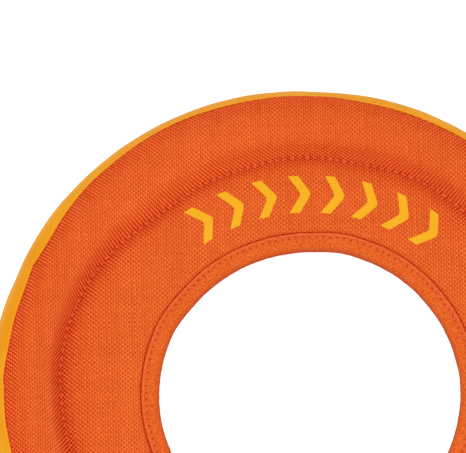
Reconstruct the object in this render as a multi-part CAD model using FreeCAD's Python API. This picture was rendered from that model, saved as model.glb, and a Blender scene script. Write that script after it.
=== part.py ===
import FreeCAD, Part
import math
import os

# A soft flying ring: foam core, sewn cloth covers, a thick padded rim and a bound round hole.
# Millimetres. +Z is up and is the ring's axis. The origin is on the floor, under the hole's centre.
# Every piece of the body is one flat section, drawn in the XZ plane (x is the radius),
# turned once round the axis. Sections are kept as (radius, height) pairs.

# ---- driving dimensions: the whole ring ----
outer_radius = 150.0
hole_radius = 71.3
rim_height = 33.0
crest_radius = 130.0        # top of the padded roll
groove_radius = 114.2       # quilting line between the web and the roll
web_thickness = 10.0
cover_thickness = 0.8       # coarse coated cloth, and the side band

# ---- the web's pinched edge and its tape ----
edge_thickness = 6.4        # covers and foam together, under the tape
tape_thickness = 0.9
tape_outer_radius = 80.3
edge_crease_radius = 80.9   # where the web starts to swell, just outside the tape
web_flat_start = 83.6
web_flat_end = 107.0
groove_depth = 2.8          # how far the quilting pulls the cover below the web

# ---- the roll and the side band ----
roll_radius = 13.0          # rounding between the groove's slope and the crest
seam_radius = 142.7         # top seam between the cover and the side band
seam_drop = 5.6             # from the crest down to that seam
lip_height = 8.0            # height of the widest point of the side band
lip_radius = 8.0            # rounding from the widest point to the flat underside
bottom_seam_angle = -55.0   # where the bottom seam lies on that rounding, in degrees

# ---- threads ----
thread_radius = 0.3
thread_clearance = 0.08
binding_stitch_radius = 77.6
binding_stitch_pitch = 3.3
groove_stitch_pitch = 3.6
seam_stitch_pitch = 3.5
stitch_fill = 0.74          # visible share of each stitch's pitch
band_join_angle = 262.0     # degrees round the ring, where the side band's ends meet
band_join_rows = 2
band_join_row_gap = 6.0
band_join_stitches = 6
band_join_low = 12.0        # degrees up the side band's arc to the lowest stitch
band_join_step = 5.0
band_join_stitch_length = 2.0
tack_angle = 248.0          # where the tape's ends overlap
tack_stitches = 9
tack_length = 2.6
tack_spacing = 0.75

# ---- printed motif: a row of plain chevrons along the web ----
print_thickness = 0.15
print_inner_radius = 88.5
print_outer_radius = 107.0
print_start_angle = 50.0
print_end_angle = 126.0
chevron_count = 8
chevron_stroke = 5.0
chevron_point = 6.0

# ---- worked out from the above ----
middle_height = rim_height / 2
web_top = middle_height + web_thickness / 2
edge_half = edge_thickness / 2
edge_centre = (hole_radius + tape_thickness + edge_half, middle_height)
foam_half = web_thickness / 2 - cover_thickness
tape_top = middle_height + edge_half + tape_thickness
groove_height = web_top - groove_depth
seam_point = (seam_radius, rim_height - seam_drop)
lip_centre = (outer_radius - lip_radius, lip_height)
full_turn = 360.0
reach = 20.0                # how far cutting shapes run past the body


def vector(place):
    """A (radius, height) pair as a point in the XZ plane."""
    return FreeCAD.Vector(place[0], 0, place[1])


def on_circle(centre, radius, degrees):
    turn = math.radians(degrees)
    return (centre[0] + radius * math.cos(turn), centre[1] + radius * math.sin(turn))


def line(start, end):
    return Part.LineSegment(vector(start), vector(end)).toShape()


def arc(centre, start, end):
    """The shorter arc about a centre between two points at the same distance from it."""
    radius = math.dist(centre, start)
    first = math.degrees(math.atan2(start[1] - centre[1], start[0] - centre[0]))
    last = math.degrees(math.atan2(end[1] - centre[1], end[0] - centre[0]))
    sweep = (last - first + 180) % full_turn - 180
    middle = on_circle(centre, radius, first + sweep / 2)
    return Part.Arc(vector(start), vector(middle), vector(end)).toShape()


def crown_radius(run, drop):
    """Radius of an arc that leaves a level line and has dropped this far after this run."""
    return (run * run + drop * drop) / (2 * drop)


def flip(place):
    """The same place on the other side of the web's middle plane."""
    return (place[0], 2 * middle_height - place[1])


def tangent_point(outside, centre, radius):
    """Where the line from an outside point touches a circle, on the circle's upper left."""
    away = math.dist(outside, centre)
    towards = math.atan2(outside[1] - centre[1], outside[0] - centre[0])
    turn = towards - math.acos(radius / away)
    return on_circle(centre, radius, math.degrees(turn))


def face(edges):
    return Part.Face(Part.Wire(edges))


def polygon(places):
    return Part.Face(Part.makePolygon([vector(place) for place in places + places[:1]]))


def rectangle(low, high):
    return polygon([low, (high[0], low[1]), high, (low[0], high[1])])


def disc(place, radius):
    return face([Part.makeCircle(radius, vector(place), FreeCAD.Vector(0, 1, 0))])


def turned(section):
    """Solids swept by a section once round the ring's axis."""
    axis = FreeCAD.Vector(0, 0, 1)
    solids = [flat.revolve(FreeCAD.Vector(0, 0, 0), axis, full_turn) for flat in section.Faces]
    return solids[0] if len(solids) == 1 else Part.makeCompound(solids)


def web_and_slope():
    """Edges of the upper surface, as (edge maker, places), from the pinched edge to the crest."""
    nose = (edge_centre[0] - edge_half, middle_height)
    edge_top = (edge_centre[0], middle_height + edge_half)
    crease = (edge_crease_radius, edge_top[1])
    web_start = (web_flat_start, web_top)
    web_end = (web_flat_end, web_top)
    groove = (groove_radius, groove_height)
    swell = crown_radius(web_flat_start - edge_crease_radius, web_top - edge_top[1])
    dip = crown_radius(groove_radius - web_flat_end, groove_depth)
    roll_centre = (crest_radius, rim_height - roll_radius)
    slope_end = tangent_point(groove, roll_centre, roll_radius)
    crest = (crest_radius, rim_height)
    return [
        (arc, [edge_centre, nose, edge_top]),
        (line, [edge_top, crease]),
        (arc, [(web_flat_start, web_top - swell), crease, web_start]),
        (line, [web_start, web_end]),
        (arc, [(web_flat_end, web_top - dip), web_end, groove]),
        (line, [groove, slope_end]),
        (arc, [roll_centre, slope_end, crest]),
    ]


def outer_wall():
    """Edges from the crest, over the top seam and the lip, to the flat underside."""
    crest = (crest_radius, rim_height)
    shoulder = crown_radius(seam_radius - crest_radius, seam_drop)
    lip = (outer_radius, lip_height)
    underside = (lip_centre[0], 0)
    return [
        arc((crest_radius, rim_height - shoulder), crest, seam_point),
        arc(band_centre(), seam_point, lip),
        arc(lip_centre, lip, underside),
        line(underside, (crest_radius, 0)),
    ]


def band_centre():
    """Centre of the side band's long arc, which is upright at the lip."""
    run = outer_radius - seam_radius
    radius = crown_radius(seam_point[1] - lip_height, run)
    return (outer_radius - radius, lip_height)


def stuffed_section():
    """The whole stuffed ring, covers included and tape left out."""
    upper = [make(*places) for make, places in web_and_slope()]
    lower = [make(*[flip(place) for place in places]) for make, places in web_and_slope()]
    return face(upper + outer_wall() + lower[::-1])


def band_zone():
    """A shape over the side band alone, cut square to the skin at both seams."""
    centre = band_centre()
    lean = math.degrees(math.atan2(seam_point[1] - centre[1], seam_point[0] - centre[0]))
    radius = math.dist(centre, seam_point)
    return polygon([
        on_circle(centre, radius - 3 * cover_thickness, lean),
        on_circle(centre, radius + reach, lean),
        (outer_radius + 2 * reach, lip_height),
        on_circle(lip_centre, lip_radius + reach, bottom_seam_angle),
        on_circle(lip_centre, lip_radius - 3 * cover_thickness, bottom_seam_angle),
        (lip_centre[0], lip_height),
    ])


def seam_place(centre, skin_radius, degrees):
    """Middle of the skin's thickness at a seam, where the closing thread runs."""
    return on_circle(centre, skin_radius - cover_thickness / 2, degrees)


def stitch(centre, along, length, radius):
    """One short straight length of thread."""
    start = centre - along * (length / 2)
    return Part.makeCylinder(radius, length, start, along)


def stitch_ring(place, pitch, radius):
    """Evenly spaced stitches that follow a circle round the axis."""
    count = round(2 * math.pi * place[0] / pitch)
    stitches = []
    for number in range(count):
        turn = 2 * math.pi * number / count
        centre = FreeCAD.Vector(place[0] * math.cos(turn), place[0] * math.sin(turn), place[1])
        along = FreeCAD.Vector(-math.sin(turn), math.cos(turn), 0)
        stitches.append(stitch(centre, along, pitch * stitch_fill, radius))
    return Part.makeCompound(stitches)


def band_join():
    """Short stitches in rows down the side band, beside the join of its two ends."""
    centre = band_centre()
    arc_radius = math.dist(centre, seam_point) + thread_radius
    stitches = []
    for row in range(band_join_rows):
        offset = (row - (band_join_rows - 1) / 2) * band_join_row_gap
        turn = math.radians(band_join_angle) + offset / outer_radius
        for number in range(band_join_stitches):
            climb = band_join_low + band_join_step * number
            place = on_circle(centre, arc_radius, climb)
            rise = math.radians(climb)
            outward = FreeCAD.Vector(math.cos(turn), math.sin(turn), 0)
            along = outward * -math.sin(rise) + FreeCAD.Vector(0, 0, math.cos(rise))
            middle = outward * place[0] + FreeCAD.Vector(0, 0, place[1])
            stitches.append(stitch(middle, along, band_join_stitch_length, thread_radius))
    return Part.makeCompound(stitches)


def binding_tack():
    """A bar tack: radial stitches side by side on the tape, inside its stitch row."""
    middle_radius = binding_stitch_radius - 2 * thread_radius - tack_length / 2
    height = tape_top + thread_radius
    stitches = []
    for number in range(tack_stitches):
        offset = (number - (tack_stitches - 1) / 2) * tack_spacing
        turn = math.radians(tack_angle) + offset / middle_radius
        outward = FreeCAD.Vector(math.cos(turn), math.sin(turn), 0)
        middle = outward * middle_radius + FreeCAD.Vector(0, 0, height)
        stitches.append(stitch(middle, outward, tack_length, thread_radius))
    return Part.makeCompound(stitches)


def chevron(start_angle, end_angle):
    """One chevron of the print, pointing back along the arc, as a thin film on the web."""
    middle_radius = (print_inner_radius + print_outer_radius) / 2
    half_height = (print_outer_radius - print_inner_radius) / 2
    turn = math.radians((start_angle + end_angle) / 2)
    outward = FreeCAD.Vector(math.cos(turn), math.sin(turn), 0)
    onward = FreeCAD.Vector(math.sin(turn), -math.cos(turn), 0)
    base = outward * middle_radius + FreeCAD.Vector(0, 0, web_top)
    back = -(chevron_stroke + chevron_point) / 2
    outline = [
        (back, half_height),
        (back + chevron_stroke, half_height),
        (back + chevron_stroke + chevron_point, 0),
        (back + chevron_stroke, -half_height),
        (back, -half_height),
        (back + chevron_point, 0),
    ]
    corners = [base + onward * step + outward * side for step, side in outline]
    film = Part.Face(Part.makePolygon(corners + corners[:1]))
    return film.extrude(FreeCAD.Vector(0, 0, print_thickness))


def printed_motif():
    step = (print_end_angle - print_start_angle) / chevron_count
    starts = [print_start_angle + step * number for number in range(chevron_count)]
    return Part.makeCompound([chevron(start, start + step) for start in starts])


def build():
    """Every piece of the ring, by name."""
    stuffed = stuffed_section()
    foam = stuffed.makeOffset2D(-cover_thickness)
    skin = stuffed.cut(foam)
    covers = skin.cut(band_zone())
    above = rectangle((0, middle_height), (outer_radius + reach, rim_height + reach))
    below = rectangle((0, -reach), (outer_radius + reach, middle_height))

    binding_top = (binding_stitch_radius, tape_top - thread_radius / 2)
    groove_top = (groove_radius, groove_height + thread_radius / 2)
    centre = band_centre()
    lean = math.degrees(math.atan2(seam_point[1] - centre[1], seam_point[0] - centre[0]))
    top_seam = seam_place(centre, math.dist(centre, seam_point), lean)
    bottom_seam = seam_place(lip_centre, lip_radius, bottom_seam_angle)
    thread_places = [binding_top, flip(binding_top), groove_top, flip(groove_top),
                     top_seam, bottom_seam]
    channels = Part.makeCompound([disc(place, thread_radius + thread_clearance)
                                  for place in thread_places])

    wrapped = stuffed.makeOffset2D(tape_thickness)
    near_hole = rectangle((0, -reach), (tape_outer_radius, rim_height + reach))
    tape = wrapped.cut(stuffed).common(near_hole)

    core_zone = rectangle((0, middle_height - foam_half),
                          (outer_radius + reach, middle_height + foam_half))
    upper_zone = rectangle((groove_radius, middle_height + foam_half),
                           (outer_radius + reach, rim_height + reach))
    lower_zone = rectangle((groove_radius, -reach),
                           (outer_radius + reach, middle_height - foam_half))

    return {
        "top_cover": turned(covers.common(above).cut(channels)),
        "bottom_cover": turned(covers.common(below).cut(channels)),
        "side_band": turned(skin.common(band_zone()).cut(channels)),
        "hole_binding": turned(tape.cut(channels)),
        "core_foam": turned(foam.common(core_zone)),
        "upper_rim_foam": turned(foam.common(upper_zone)),
        "lower_rim_foam": turned(foam.common(lower_zone)),
        "top_print": printed_motif(),
        "binding_needle_thread": stitch_ring(binding_top, binding_stitch_pitch, thread_radius),
        "binding_bobbin_thread": stitch_ring(flip(binding_top), binding_stitch_pitch, thread_radius),
        "groove_needle_thread": stitch_ring(groove_top, groove_stitch_pitch, thread_radius),
        "groove_bobbin_thread": stitch_ring(flip(groove_top), groove_stitch_pitch, thread_radius),
        "top_seam_thread": stitch_ring(top_seam, seam_stitch_pitch, thread_radius),
        "bottom_seam_thread": stitch_ring(bottom_seam, seam_stitch_pitch, thread_radius),
        "band_join_thread": band_join(),
        "binding_tack_thread": binding_tack(),
    }


os.makedirs("parts", exist_ok=True)
for name, shape in build().items():
    shape.exportStep(os.path.join("parts", name + ".step"))
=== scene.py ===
import math

import bpy
import numpy as np
from mathutils import Matrix, Vector
from mathutils.bvhtree import BVHTree


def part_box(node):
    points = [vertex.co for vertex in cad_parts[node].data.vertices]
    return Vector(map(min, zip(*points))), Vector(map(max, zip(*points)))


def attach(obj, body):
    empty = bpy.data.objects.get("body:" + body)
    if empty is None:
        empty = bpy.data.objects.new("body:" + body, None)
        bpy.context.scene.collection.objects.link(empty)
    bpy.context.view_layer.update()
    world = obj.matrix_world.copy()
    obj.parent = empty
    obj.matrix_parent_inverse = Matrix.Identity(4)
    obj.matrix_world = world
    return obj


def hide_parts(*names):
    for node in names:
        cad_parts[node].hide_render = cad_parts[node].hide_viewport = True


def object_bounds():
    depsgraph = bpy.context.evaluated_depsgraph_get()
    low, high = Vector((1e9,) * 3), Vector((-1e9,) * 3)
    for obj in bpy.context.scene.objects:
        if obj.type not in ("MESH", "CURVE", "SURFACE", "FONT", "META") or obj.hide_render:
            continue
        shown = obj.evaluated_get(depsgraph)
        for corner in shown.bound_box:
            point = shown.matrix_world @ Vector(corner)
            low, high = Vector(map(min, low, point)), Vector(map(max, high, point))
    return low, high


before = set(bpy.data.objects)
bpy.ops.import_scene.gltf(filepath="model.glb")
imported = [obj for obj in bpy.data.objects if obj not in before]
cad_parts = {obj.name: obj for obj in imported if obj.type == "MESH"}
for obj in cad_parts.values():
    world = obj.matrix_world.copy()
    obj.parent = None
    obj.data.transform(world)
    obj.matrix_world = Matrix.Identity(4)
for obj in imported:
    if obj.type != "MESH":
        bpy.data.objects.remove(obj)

# A soft flying ring: orange cloth covers over foam, a stitched groove, a taped hole and a
# smooth yellow side band. Shapes are worked out in millimetres and scaled as they become
# meshes. Sections are (radius, height) pairs; theta runs round the ring, 0 along +X.

MM = 0.001
TURN = 2 * math.pi
BODY = "root"
cad_low, cad_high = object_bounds()


# ---- sizes from the frame

def ring_radii(node):
    """Smallest and largest distance of a CAD node's points from the axis, in millimetres."""
    places = np.array([v.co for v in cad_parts[node].data.vertices])
    radii = np.hypot(places[:, 0], places[:, 1]) / MM
    return radii.min(), radii.max()


def heights(node):
    low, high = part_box(node)
    return low.z / MM, high.z / MM


RIM_HEIGHT = cad_high.z / MM
MIDDLE = RIM_HEIGHT / 2
OUTER = ring_radii("side_band")[1]
HOLE = ring_radii("hole_binding")[0]
TAPE_OUTER = ring_radii("hole_binding")[1] - 0.4
TOP_SEAM = ring_radii("top_cover")[1]
TOP_SEAM_Z = heights("side_band")[1]
BOTTOM_SEAM = sum(ring_radii("bottom_seam_thread")) / 2
WEB_TOP = heights("top_print")[0]
GROOVE = sum(ring_radii("groove_needle_thread")) / 2
GROOVE_Z = heights("groove_needle_thread")[0]
BINDING_ROW = sum(ring_radii("binding_needle_thread")) / 2
EDGE_HALF = 3.2  # half the pinched edge's thickness, under the tape
TAPE = 0.9  # tape thickness
CLOTH = 0.7  # cover and band thickness
CREST = 130.0  # radius of the roll's highest point
FLAT_EDGE = 142.0  # outer edge of the level underside
ROLL_ROUND = 13.0  # rounding at the top of the roll's inner slope
LIP_Z = 8.0  # height of the side band's widest point
WEB_START = 83.2  # where the web is level again outside the tape
WEB_END = 105.8  # where it starts down into the groove
UNDERSIDE_Z = 0.02  # the underside's lowest height, just clear of the floor
STEP = 0.05  # spacing of the points that a section is worked out with
SHELL_COLUMNS = 1200  # columns round the covers and the side band
TAPE_COLUMNS = 1000
FOAM_COLUMNS = 240
INSIDE_SHARE = 4  # outside rows of a skin for each inside row

# sewing
GROOVE_PITCH = 3.6
BINDING_PITCH = 3.3
SEAM_PITCH = 3.5
THREAD = 0.42  # thread radius
SEAM_ROUND = 0.42  # how tightly the cloth turns in at a rim seam
TURN_IN = 2.4  # how far it can be followed inwards
WARP_PITCH = 1.22  # yarn spacing of the cover cloth
WEFT_PITCH = 1.074
CLOTH_TURN = math.radians(-1.5)
HOLE_SHIFT = (2.2, -2.6)  # the hole was cut and bound a little off the rim's centre
BAND_JOIN = math.radians(262)
TAPE_JOIN = math.radians(248)


# ---- small numeric helpers

def smooth(x):
    x = np.clip(x, 0, 1)
    return x * x * (3 - 2 * x)


def bump(x, centre, width):
    return np.exp(-((x - centre) / width) ** 2)


def turn_from(theta, place):
    """Signed angle from a place round the ring, from -pi to pi."""
    return (theta - place + math.pi) % TURN - math.pi


def round_angles(count):
    return np.linspace(0, TURN, count, endpoint=False)


def waves(theta, seed, low, high, fall=0.5):
    """Random smooth ripple round the ring, about 1 high, with low to high waves in a turn."""
    rng = np.random.default_rng(seed)
    total = np.zeros_like(theta)
    power = 0.0
    for count in range(low, high + 1):
        size = count ** -fall * rng.uniform(0.4, 1.0)
        total += size * np.cos(count * theta + rng.uniform(0, TURN))
        power += size * size / 2
    return total / math.sqrt(power)


def line(start, end):
    count = max(2, int(math.dist(start, end) / STEP))
    share = np.linspace(0, 1, count)[:, None]
    return np.array(start) * (1 - share) + np.array(end) * share


def on_circle(centre, radius, turn):
    return centre[0] + radius * np.cos(turn), centre[1] + radius * np.sin(turn)


def arc(centre, start, end):
    """Points on the shorter arc about a centre from one place to another."""
    radius = math.dist(centre, start)
    first = math.atan2(start[1] - centre[1], start[0] - centre[0])
    last = math.atan2(end[1] - centre[1], end[0] - centre[0])
    sweep = turn_from(last, first)
    turns = first + sweep * np.linspace(0, 1, max(3, int(abs(sweep) * radius / STEP)))
    return np.stack(on_circle(centre, radius, turns), 1)


def level_arc(level, other):
    """Arc that is level at one place and passes through another, from level to other."""
    run, drop = other[0] - level[0], other[1] - level[1]
    radius = (run * run + drop * drop) / (2 * drop)
    return arc((level[0], level[1] + radius), level, other)


def joined(pieces):
    """One evenly spaced polyline from several that follow each other."""
    raw = np.concatenate([pieces[0]] + [piece[1:] for piece in pieces[1:]])
    raw = raw[np.concatenate([[True], steps(raw) > 1e-6])]
    length = path_length(raw)
    even = np.arange(0, length[-1], STEP)
    return np.stack([np.interp(even, length, raw[:, k]) for k in (0, 1)], 1)


def rounded(path, reach):
    """The path with its corners softened over a reach in millimetres, ends kept."""
    half = int(reach / STEP)
    kernel = np.hanning(2 * half + 3)[1:-1]
    kernel /= kernel.sum()
    padded = np.concatenate([
        2 * path[0] - path[half:0:-1], path, 2 * path[-1] - path[-2:-half - 2:-1]])
    return np.stack([np.convolve(padded[:, k], kernel, "valid") for k in (0, 1)], 1)


def steps(path):
    return np.hypot(*np.diff(path, axis=0).T)


def path_length(path):
    """Length along a path up to each of its points."""
    return np.concatenate([[0], np.cumsum(steps(path))])


def path_normals(path):
    """Unit normals on the left of the path's direction."""
    along = np.gradient(path, axis=0)
    along /= np.hypot(*along.T)[:, None]
    return np.stack([-along[:, 1], along[:, 0]], 1)


def picked(path, spacing):
    """Indices along a path whose gaps follow spacing(path), ends included."""
    count = np.concatenate([[0], np.cumsum(steps(path) / spacing(path)[1:])])
    rows = int(round(count[-1])) + 1
    return np.searchsorted(count, np.linspace(0, count[-1], rows) - 1e-9).clip(0, len(path) - 1)


def from_ends(path):
    """Distance of each point of a path from its nearer end, along the path."""
    length = path_length(path)
    return np.minimum(length, length[-1] - length)


def graded(x, table):
    """Values at x from a table of (place, value) pairs, straight between them."""
    return np.interp(x, *np.array(table).T)


def stitch_count(radius, pitch):
    return round(TURN * radius / pitch)


def between_holes(radius, pitch):
    """Angles halfway between the needle holes of a round row of stitches."""
    count = stitch_count(radius, pitch)
    return [TURN * (number + 0.5) / count for number in range(count)]


def stitch_wave(theta, radius, pitch):
    """One wave to each stitch of a round row: 1 at the needle holes, -1 between them."""
    return np.cos(stitch_count(radius, pitch) * theta)


def needle(theta, radius, pitch):
    """The same wave from 0 to 1."""
    return 0.5 + 0.5 * stitch_wave(theta, radius, pitch)


# ---- sections of the ring

def upper_section():
    """The top cover's outside in pieces, from under the tape to the rim seam."""
    edge_z = MIDDLE + EDGE_HALF
    groove = (GROOVE, GROOVE_Z)
    roll = (CREST, RIM_HEIGHT - ROLL_ROUND)
    away = math.dist(groove, roll)
    turn = math.atan2(groove[1] - roll[1], groove[0] - roll[0]) - math.acos(ROLL_ROUND / away)
    slope_end = on_circle(roll, ROLL_ROUND, turn)
    crest = (CREST, RIM_HEIGHT)
    crease = (TAPE_OUTER + 0.3, edge_z + 0.2)
    return [
        line((HOLE + 5, edge_z - 0.1), (TAPE_OUTER - 1, edge_z - 0.1)),
        line((TAPE_OUTER - 1, edge_z - 0.1), crease),
        level_arc((WEB_START, WEB_TOP), crease)[::-1],
        line((WEB_START, WEB_TOP), (WEB_END, WEB_TOP)),
        level_arc((WEB_END, WEB_TOP), groove),
        line(groove, slope_end),
        arc(roll, slope_end, crest),
        level_arc(crest, (TOP_SEAM, TOP_SEAM_Z)),
    ]


def turned_in(path, side):
    """A path that ends by rolling inwards at a seam. side is 1 to roll right, -1 to roll left."""
    along = path[-1] - path[-4]
    along /= np.hypot(*along)
    inward = np.array([along[1], -along[0]]) * side
    centre = path[-1] + inward * SEAM_ROUND
    turns = np.linspace(0, math.radians(82), 18)[1:, None]
    roll = centre - inward * SEAM_ROUND * np.cos(turns) + along * SEAM_ROUND * np.sin(turns)
    lead = roll[-1] - roll[-2]
    lead /= np.hypot(*lead)
    return [path, roll, line(tuple(roll[-1]), tuple(roll[-1] + lead * TURN_IN))]


def backed_off(path, gap):
    """The path cut short, so that a rolled edge fits between its end and the seam."""
    length = path_length(path)
    return path[length <= length[-1] - gap]


upper = rounded(joined(turned_in(backed_off(joined(upper_section()), SEAM_ROUND), 1)), 0.45)

run = OUTER - TOP_SEAM
rise = TOP_SEAM_Z - LIP_Z
BAND_ROUND = (run * run + rise * rise) / (2 * run)
BAND_CENTRE = (OUTER - BAND_ROUND, LIP_Z)
LIP_CENTRE = (FLAT_EDGE, LIP_Z)
bottom_seam = on_circle(LIP_CENTRE, LIP_Z, -math.radians(55))


def band_section():
    """The side band's outside, from the top seam over the lip to the bottom seam."""
    lip = (OUTER, LIP_Z)
    outside = joined([arc(BAND_CENTRE, (TOP_SEAM, TOP_SEAM_Z), lip),
                      arc(LIP_CENTRE, lip, bottom_seam)])
    outside = backed_off(outside[::-1], SEAM_ROUND)[::-1]
    outside = backed_off(outside, SEAM_ROUND)
    top_end = turned_in(outside[::-1], -1)[1:]
    top = np.concatenate([piece[1:] for piece in top_end])[::-1]
    return rounded(joined([top] + turned_in(outside, 1)), 0.3)


def lower_section():
    """The bottom cover's outside, from under the tape to the bottom rim seam."""
    flat_end = (FLAT_EDGE, 0.0)
    mirrored = [piece * (1, -1) + (0, RIM_HEIGHT) for piece in upper_section()[:-1]]
    path = joined([*mirrored, line((CREST, 0.0), flat_end), arc(LIP_CENTRE, flat_end, bottom_seam)])
    path = rounded(joined(turned_in(backed_off(path, SEAM_ROUND), -1)), 0.45)
    path[:, 1] = np.maximum(path[:, 1], UNDERSIDE_Z)
    return path


band = band_section()
lower = lower_section()


# ---- how the sewn shape wanders
# A stray is (size in millimetres, place and width in degrees round the ring).

GROOVE_STRAYS = [(-4.0, 128, 12), (-2.5, 107, 25), (1.2, 168, 22), (0.5, 66, 16)]
SEAM_STRAYS = [(-0.6, 80, 11), (0.55, 118, 9), (0.2, 136, 4), (0.9, 178, 8), (-1.4, 150, 7),
               (-0.7, 160, 5), (-0.25, 130, 14), (-1.3, 170, 8), (-0.42, 149, 12), (-0.6, 171, 7)]
BAND_STRAYS = [(-0.8, 86, 8), (-0.7, 157, 8)]
CORNER = 155.7  # where the rim seam comes to a corner, in degrees
CREASE, TAPE_FOLD = math.radians(155.3), math.radians(123)
GROOVE_REACH = (96, 128)  # radii between which the groove's wandering is felt
SEAM_REACH = 134  # radius from which the rim seam's is
HOLE_REACH = (84, 108)  # radii between which the hole's shift dies away


def degrees_round(theta):
    return np.degrees(turn_from(theta, 0))


def strays(theta, table):
    """The sum of a table's strays at each theta."""
    degrees = degrees_round(theta)
    return sum(size * bump(degrees, place, width) for size, place, width in table)


def groove_wander(theta):
    """How far the groove strays from its circle, in millimetres."""
    return 0.9 + strays(theta, GROOVE_STRAYS) + 0.35 * waves(theta, 11, 5, 14)


def seam_wander(theta):
    """How far the rim seam strays from its circle; it comes to a corner where it is creased."""
    corner = 0.8 * np.exp(-np.abs(degrees_round(theta) - CORNER) / 1.3)
    return 0.07 * waves(theta, 12, 9, 40, 0.7) + strays(theta, SEAM_STRAYS) + corner - 0.25


def hole_wander(theta):
    """The bound hole is not quite round: one stretch of its edge was sewn further in."""
    degrees = degrees_round(theta)
    return -1.05 * smooth((degrees - 76) / 16) * (1 - smooth((degrees - 138) / 18))


def plan(radius, theta, shifted):
    """Plan x and y of a place that takes a share of the hole's shift, from 0 to 1."""
    return on_circle((HOLE_SHIFT[0] * shifted, HOLE_SHIFT[1] * shifted), radius, theta)


def moved(radius, theta, upper_side=True):
    """Plan place of a nominal one: groove and rim seam wander, and the hole is off centre."""
    inner, outer = GROOVE_REACH
    near_groove = smooth(np.where(radius < GROOVE, (radius - inner) / (GROOVE - inner),
                                  (outer - radius) / (outer - GROOVE)))
    near_seam = smooth((radius - SEAM_REACH) / (TOP_SEAM - SEAM_REACH)) if upper_side else 0.0
    near_hole = 1 - smooth((radius - HOLE_REACH[0]) / (HOLE_REACH[1] - HOLE_REACH[0]))
    strayed = radius + groove_wander(theta if upper_side else 1.3 - theta) * near_groove
    strayed = strayed + seam_wander(theta) * near_seam + hole_wander(theta) * near_hole
    return plan(strayed, theta, near_hole)


def below(radius, theta):
    return moved(radius, theta, upper_side=False)


def wrinkle_field(radius, theta, seed, count, start, side, size, length, width):
    """Small ridges that fan out from a stitched line, outwards if side is 1, inwards if -1."""
    rng = np.random.default_rng(seed)
    total = np.zeros(np.broadcast(radius, theta).shape)
    for number in range(count):
        place = TURN * (number + rng.uniform(-0.45, 0.45)) / count
        lean = rng.uniform(-0.35, 0.35)
        high = size * rng.uniform(-0.6, 1.0)
        reach = length * rng.uniform(0.35, 1.0)
        wide = width * rng.uniform(0.6, 1.3)
        near = np.abs(turn_from(theta[0], place)) * start < 3 * wide + length * 0.6
        away = (radius - start) * side
        across = turn_from(theta[:, near], place) * start - lean * away
        body = bump(across, 0, wide * (0.5 + 0.5 * np.clip(away / reach, 0, 1)))
        fade = smooth(away / 0.8) * np.exp(-np.clip(away, 0, None) / reach * 1.6)
        total[:, near] += high * body * fade
    return total


def stitch_dimples(radius, theta, place, pitch, depth, width):
    """Needle holes pull the cloth down; between them it stands a little proud."""
    return (0.3 - needle(theta, place, pitch) ** 2) * depth * bump(radius, place, width)


def lapped(theta, join, radius, start, rise):
    """A strip's end over its other end: it climbs from start before the join and ends there."""
    lap = turn_from(theta, join) * radius
    return smooth((lap + start) / rise) * (1 - smooth((lap - 0.2) / 0.5))


FOLDS = [  # number, where they start, side they run to, size, length, width
    (150, GROOVE + 0.3, 1, 0.42, 9, 1.7),
    (130, GROOVE - 0.3, -1, 0.26, 6, 1.6),
    (110, TAPE_OUTER, 1, 0.16, 4, 1.3),
    (190, TOP_SEAM, -1, 0.22, 4.5, 1.1),
]


def cover_relief(radius, theta, seed):
    """How far a cover stands off its plain section, in millimetres, along its normal."""
    lumps = 0.20 * waves(theta, seed, 3, 16) * smooth((radius - 116) / 8)
    lumps += 0.16 * waves(theta + radius * 0.02, seed + 1, 8, 40) * smooth((radius - 118) / 8)
    web = 0.10 * waves(theta + radius * 0.03, seed + 2, 3, 22)
    web = web * smooth((radius - 84) / 5) * smooth((112 - radius) / 6)
    groove = stitch_dimples(radius, theta, GROOVE, GROOVE_PITCH, 0.42, 0.8)
    ribs = 0.06 * stitch_wave(theta, GROOVE, GROOVE_PITCH)
    groove += ribs * np.exp(-np.abs(radius - GROOVE) / 1.6)
    folds = sum(wrinkle_field(radius, theta, seed + 3 + k, *fold) for k, fold in enumerate(FOLDS))
    return lumps + web + groove + folds


def top_relief(radius, theta):
    """The top cover's detail: also a crease in from the rim seam, and a fold by the tape."""
    across = turn_from(theta, CREASE) * radius
    crease = -0.5 * bump(across, 0, 1.1) + 0.22 * bump(across, 2.6, 1.6)
    crease = crease * smooth((radius - 130.5) / 8)
    across = turn_from(theta, TAPE_FOLD) * radius - 0.8 * (radius - 82)
    fold = 0.35 * bump(across, 0, 1.2) * bump(radius, 83.5, 2.6)
    return cover_relief(radius, theta, 100) + crease + fold


def bottom_relief(radius, theta):
    """The bottom cover's detail, pressed flat where the ring stands on the floor."""
    return cover_relief(radius, theta, 300) * smooth((127 - radius) / 7)


# ---- painted shade and highlights on the cloth
# Tables of (radius, value) across the ring.

# SLOPE_SHADING: painted shade in the weave's gaps and a painted highlight on its crowns, strongest on
# the steep slopes by the groove and at the outer edge.
SLOPE_SHADING = [(100, 0.0), (104, 0.12), (108, 0.26), (112, 0.56), (115, 0.95), (117, 0.66), (119, 0.22),
          (121, 0.04), (124, 0.0), (130, 0.0), (134, 0.08), (137, 0.3), (140, 0.5), (143, 0.6)]
# PAINTED_WEAVE_CONTRAST: how strongly the weave's light and dark are painted, higher on the slopes
# where the yarn relief is shaded more.
PAINTED_WEAVE_CONTRAST = [(100, 1.15), (108, 1.5), (115, 1.9), (122, 2.0), (127, 1.3), (130, 1.1), (134, 1.6),
         (137, 2.4), (140, 2.9), (143, 3.0)]
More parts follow.
